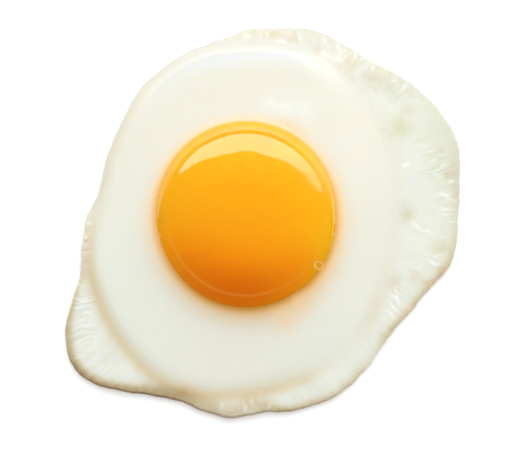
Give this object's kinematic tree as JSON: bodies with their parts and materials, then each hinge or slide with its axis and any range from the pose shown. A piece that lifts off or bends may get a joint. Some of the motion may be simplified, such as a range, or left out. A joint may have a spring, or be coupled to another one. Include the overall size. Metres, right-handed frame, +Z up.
{
  "type": "fried egg",
  "caption": "Fried egg, sunny side up: a frilled white with a thick raised part, and a domed yolk set into it.",
  "frame": {"origin": "on the flat underside, straight below the middle of the yolk", "axes": "+Z up from the underside to the top of the yolk; -Y towards the side that faces the viewer, +X to the viewer's right"},
  "size_m": [0.0928, 0.0941, 0.0152],
  "materials": {
    "egg_white": "moist, set egg white, ivory, with a thin browned edge",
    "egg_yolk": "wet, glossy soft yolk, orange yellow"
  },
  "bodies": {
    "root": {"white": "egg_white", "yolk": "egg_yolk"}
  },
  "joints": []
}
